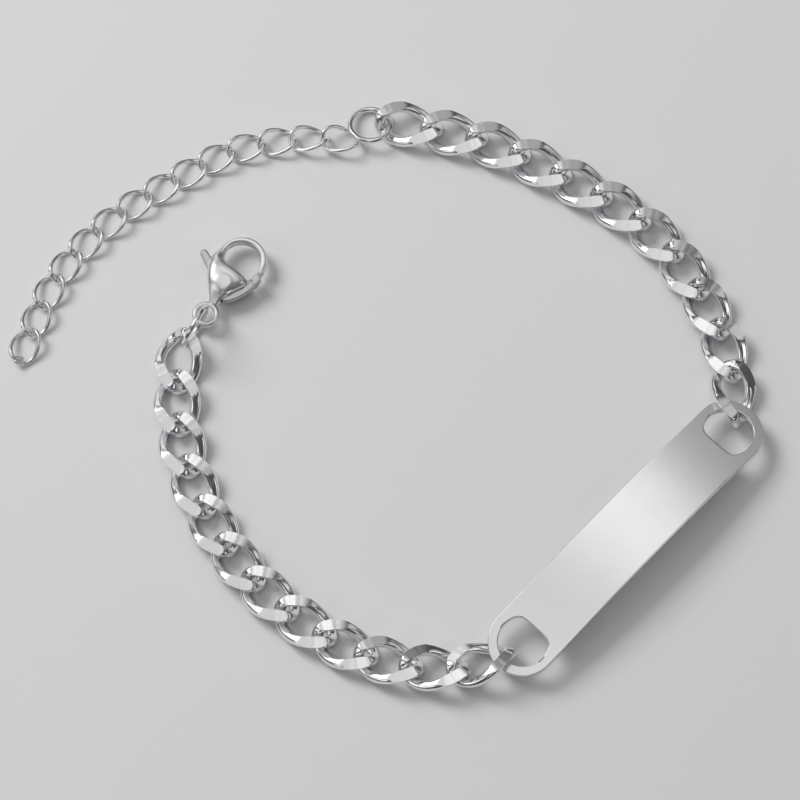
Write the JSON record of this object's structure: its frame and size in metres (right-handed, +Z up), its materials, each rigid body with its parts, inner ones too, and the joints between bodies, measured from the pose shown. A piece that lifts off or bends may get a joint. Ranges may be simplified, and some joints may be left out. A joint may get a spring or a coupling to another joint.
{
  "type": "id bracelet",
  "caption": "Polished steel id bracelet: a bare arched plate, ground curb chain, lobster clasp and a thin extender chain, lying open on a surface.",
  "frame": {"origin": "middle of the bracelet seen from above, on the surface that it lies on", "axes": "+X to the right along the longest extent, from the extender's free end towards the plate; +Y away from the viewer, towards the jump ring; +Z up from the surface"},
  "size_m": [0.0779, 0.0649, 0.0051],
  "materials": {
    "plate_steel": "polished",
    "polished_steel": "polished",
    "extender_steel": "polished"
  },
  "bodies": {
    "bracelet": {"id_plate": "plate_steel", "left_link_01": "polished_steel", "left_link_02": "polished_steel", "left_link_03": "polished_steel", "left_link_04": "polished_steel", "left_link_05": "polished_steel", "left_link_06": "polished_steel", "left_link_07": "polished_steel", "left_link_08": "polished_steel", "left_link_09": "polished_steel", "left_link_10": "polished_steel", "left_link_11": "polished_steel", "left_link_12": "polished_steel", "right_link_01": "polished_steel", "right_link_02": "polished_steel", "right_link_03": "polished_steel", "right_link_04": "polished_steel", "right_link_05": "polished_steel", "right_link_06": "polished_steel", "right_link_07": "polished_steel", "right_link_08": "polished_steel", "right_link_09": "polished_steel", "right_link_10": "polished_steel", "right_link_11": "polished_steel", "jump_ring": "polished_steel", "extender_link_01": "extender_steel", "extender_link_02": "extender_steel", "extender_link_03": "extender_steel", "extender_link_04": "extender_steel", "extender_link_05": "extender_steel", "extender_link_06": "extender_steel", "extender_link_07": "extender_steel", "extender_link_08": "extender_steel", "extender_link_09": "extender_steel", "extender_link_10": "extender_steel", "extender_link_11": "extender_steel", "extender_link_12": "extender_steel", "extender_link_13": "extender_steel", "extender_link_14": "extender_steel", "clasp_ring": "polished_steel", "clasp_body": "polished_steel", "clasp_pin": "polished_steel"},
    "lever": {"clasp_lever": "polished_steel"}
  },
  "joints": [
    {"name": "lever_pivot", "type": "hinge", "parent": "bracelet", "child": "lever", "pos_m": [-0.01625, 0.01082, 0.0014], "axis": [0, 0, 1], "range_deg": [0, 24], "stiffness_Nm_per_rad": 0.002, "springref_deg": -17.19}
  ]
}
